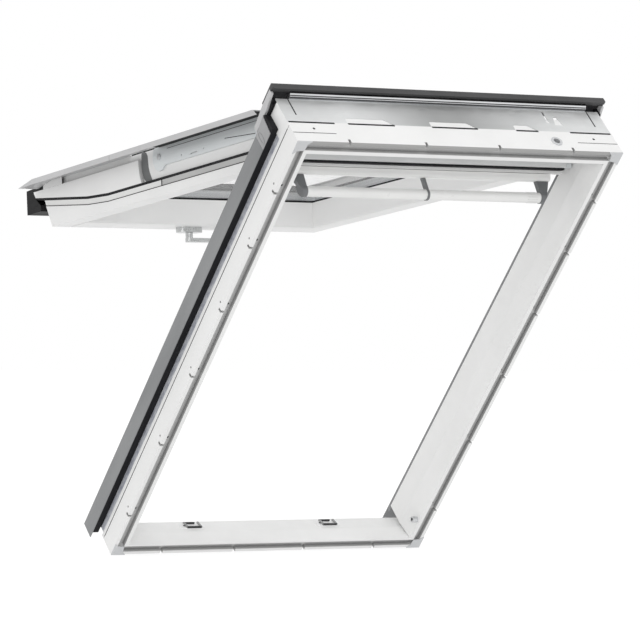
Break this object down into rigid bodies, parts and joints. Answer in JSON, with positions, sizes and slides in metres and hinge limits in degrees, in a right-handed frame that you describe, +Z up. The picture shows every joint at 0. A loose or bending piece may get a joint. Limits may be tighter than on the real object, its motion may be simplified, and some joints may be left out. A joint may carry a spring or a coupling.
{
  "type": "roof window",
  "caption": "Top-hung roof skylight in its white frame, open on lifting arms, with pivoting glazed sash, vent flap, control bar, handle and grey claddings.",
  "frame": {"origin": "middle of the lower outer face of the frame, between the two sides", "axes": "+X across the window, to the right seen from the room; +Y outwards from the room; +Z up; the frame leans back at the roof's 47 degree slope"},
  "size_m": [0.8112, 1.3386, 0.9814],
  "materials": {
    "white_frame": "satin",
    "white_sash": "satin",
    "grey_plastic": "matt",
    "white_plastic": "satin",
    "bright_metal": "satin",
    "galvanised_plate": "matt",
    "arm_metal": "satin",
    "rail_white": "satin",
    "silver_bead": "satin",
    "white_strip": "satin",
    "dark_cladding": "satin",
    "light_cladding": "satin",
    "black_cap": "matt",
    "foil": "satin",
    "seal_rubber": "matt",
    "clear_glass": "gloss",
    "spacer_metal": "satin",
    "handle_metal": "satin"
  },
  "bodies": {
    "frame": {"frame_side_left": "white_frame", "frame_side_right": "white_frame", "frame_bottom": "white_frame", "frame_top": "white_frame", "corner_clips_bottom": "grey_plastic", "corner_clips_top": "grey_plastic", "strikers": "bright_metal", "bolt_bush": "bright_metal", "cable_grommet": "grey_plastic", "foil_strips": "foil", "side_seal_left": "seal_rubber", "side_seal_right": "seal_rubber", "side_cladding_left": "dark_cladding", "side_cladding_right": "dark_cladding", "head_cover_left": "light_cladding", "head_cover_right": "light_cladding", "head_plate": "galvanised_plate", "head_bead": "silver_bead", "head_cap": "black_cap", "hood_end_left": "light_cladding", "hood_end_right": "light_cladding", "hinge_brackets": "bright_metal", "hinge_pins": "bright_metal"},
    "lifting_arms": {"lifting_arm_left": "arm_metal", "lifting_arm_right": "arm_metal", "arm_rail": "rail_white", "rail_seal": "seal_rubber", "upper_casing_left": "light_cladding", "upper_casing_right": "light_cladding"},
    "sash": {"bottom_apron": "dark_cladding", "edge_seal_left": "seal_rubber", "edge_seal_right": "seal_rubber", "edge_strip_lower_left": "white_strip", "edge_strip_lower_right": "white_strip", "edge_strip_upper_left": "silver_bead", "edge_strip_upper_right": "silver_bead", "flap_bearings": "white_plastic", "glass_cover": "light_cladding", "glass_pane_inner": "clear_glass", "glass_pane_outer": "clear_glass", "glass_spacer": "spacer_metal", "glazing_gasket_inner": "seal_rubber", "glazing_gasket_outer": "seal_rubber", "handle_rosette": "handle_metal", "lower_casing_left": "light_cladding", "lower_casing_right": "light_cladding", "pivot_pins": "bright_metal", "sash_bottom": "white_sash", "sash_side_left": "white_sash", "sash_side_right": "white_sash", "sash_top": "white_sash"},
    "vent_flap": {"vent_flap": "white_plastic", "control_bar": "white_plastic", "bar_brackets": "white_plastic"},
    "handle": {"handle_lever": "handle_metal"},
    "lock_bar": {"lock_bar": "bright_metal"},
    "barrel_bolt": {"barrel_bolt": "bright_metal"}
  },
  "joints": [
    {"name": "top_hinge", "type": "hinge", "parent": "frame", "child": "lifting_arms", "pos_m": [0, -0.71722, 0.92822], "axis": [1, 0, 0], "range_deg": [-41, 4]},
    {"name": "centre_pivot", "type": "hinge", "parent": "lifting_arms", "child": "sash", "pos_m": [0, -0.13019, 0.84037], "axis": [1, 0, 0], "range_deg": [0, 160]},
    {"name": "vent_flap_pivot", "type": "hinge", "parent": "sash", "child": "vent_flap", "pos_m": [0, -0.64476, 0.79491], "axis": [1, 0, 0], "range_deg": [0, 30]},
    {"name": "handle_turn", "type": "hinge", "parent": "sash", "child": "handle", "pos_m": [-0.013, 0.34013, 0.69441], "axis": [0, -0.1045, -0.9945], "range_deg": [0, 90]},
    {"name": "lock_slide", "type": "slide", "parent": "sash", "child": "lock_bar", "axis": [1, 0, 0], "range_m": [0, 0.014]},
    {"name": "bolt_slide", "type": "slide", "parent": "sash", "child": "barrel_bolt", "axis": [1, 0, 0], "range_m": [0, 0.0075]}
  ],
  "couplings": [
    {"joint": "lock_slide", "follows": "handle_turn", "m_per_rad": 0.0089}
  ]
}
